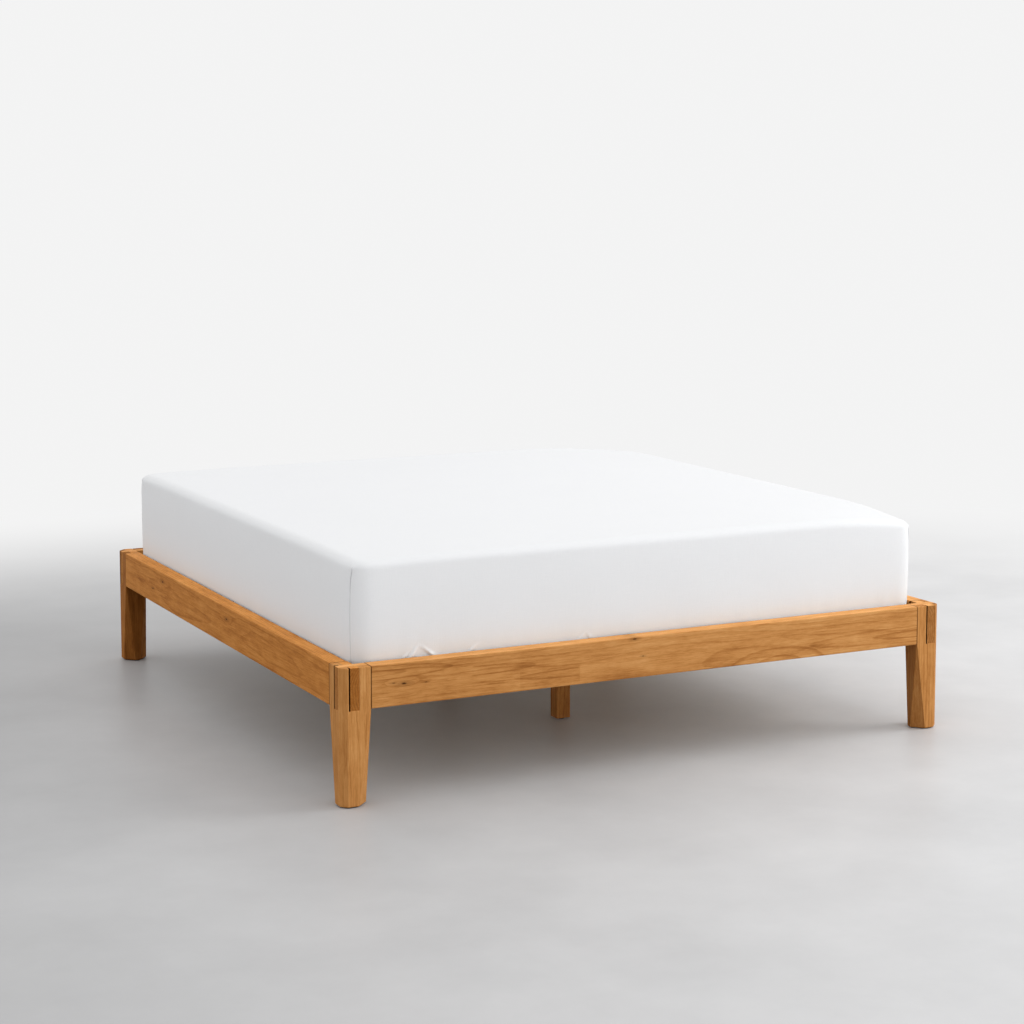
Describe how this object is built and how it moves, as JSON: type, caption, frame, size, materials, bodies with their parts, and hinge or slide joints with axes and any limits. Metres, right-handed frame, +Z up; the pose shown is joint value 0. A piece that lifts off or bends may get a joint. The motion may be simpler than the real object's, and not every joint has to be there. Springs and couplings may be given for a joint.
{
  "type": "platform bed",
  "caption": "King-size wooden platform bed: rails tongued into corner posts, slat deck on ledgers and a centre beam, with a mattress in a white fitted sheet.",
  "frame": {"origin": "on the floor, under the middle of the bed", "axes": "+Z up, +Y from the foot to the head, +X to the right as seen from the foot"},
  "size_m": [2.046, 2.148, 0.689],
  "materials": {
    "honey_wood": "satin",
    "slat_wood": "matte",
    "strap_webbing": "matte",
    "black_steel": "satin",
    "zinc_steel": "satin",
    "insert_brass": "satin",
    "leveller_plastic": "matte",
    "pad_felt": "matte",
    "mattress_ticking": "matte",
    "sheet_cotton": "matte"
  },
  "bodies": {
    "bed_frame": {"corner_post_foot_left": "honey_wood", "felt_pad_foot_left": "pad_felt", "corner_post_foot_right": "honey_wood", "felt_pad_foot_right": "pad_felt", "corner_post_head_left": "honey_wood", "felt_pad_head_left": "pad_felt", "corner_post_head_right": "honey_wood", "felt_pad_head_right": "pad_felt", "foot_rail": "honey_wood", "head_rail": "honey_wood", "side_rail_left": "honey_wood", "side_rail_right": "honey_wood", "slat_ledger_left": "honey_wood", "slat_ledger_right": "honey_wood", "centre_beam": "honey_wood", "centre_leg_foot": "honey_wood", "centre_leg_head": "honey_wood", "beam_hanger_foot": "black_steel", "beam_hanger_head": "black_steel", "ledger_screws": "zinc_steel", "hanger_screws": "zinc_steel", "corner_bolts": "zinc_steel", "corner_washers": "zinc_steel", "centre_leg_studs": "zinc_steel", "corner_inserts": "insert_brass", "leveller_nuts": "insert_brass"},
    "slat_deck": {"slat_01": "slat_wood", "slat_02": "slat_wood", "slat_03": "slat_wood", "slat_04": "slat_wood", "slat_05": "slat_wood", "slat_06": "slat_wood", "slat_07": "slat_wood", "slat_08": "slat_wood", "slat_09": "slat_wood", "slat_10": "slat_wood", "slat_11": "slat_wood", "slat_12": "slat_wood", "slat_13": "slat_wood", "slat_14": "slat_wood", "slat_15": "slat_wood", "slat_16": "slat_wood", "slat_strap_left": "strap_webbing", "slat_strap_right": "strap_webbing", "strap_staples": "zinc_steel"},
    "mattress": {"mattress": "mattress_ticking", "fitted_sheet": "sheet_cotton"},
    "leveller_foot": {"leveller_foot": "leveller_plastic"},
    "leveller_head": {"leveller_head": "leveller_plastic"}
  },
  "joints": [
    {"name": "slat_deck_lift", "type": "slide", "parent": "bed_frame", "child": "slat_deck", "axis": [0, 0, 1], "range_m": [0, 0.3]},
    {"name": "mattress_lift", "type": "slide", "parent": "slat_deck", "child": "mattress", "axis": [0, 0, 1], "range_m": [0, 0.4]},
    {"name": "leveller_foot_travel", "type": "slide", "parent": "bed_frame", "child": "leveller_foot", "axis": [0, 0, -1], "range_m": [0, 0.012]},
    {"name": "leveller_head_travel", "type": "slide", "parent": "bed_frame", "child": "leveller_head", "axis": [0, 0, -1], "range_m": [0, 0.012]}
  ]
}
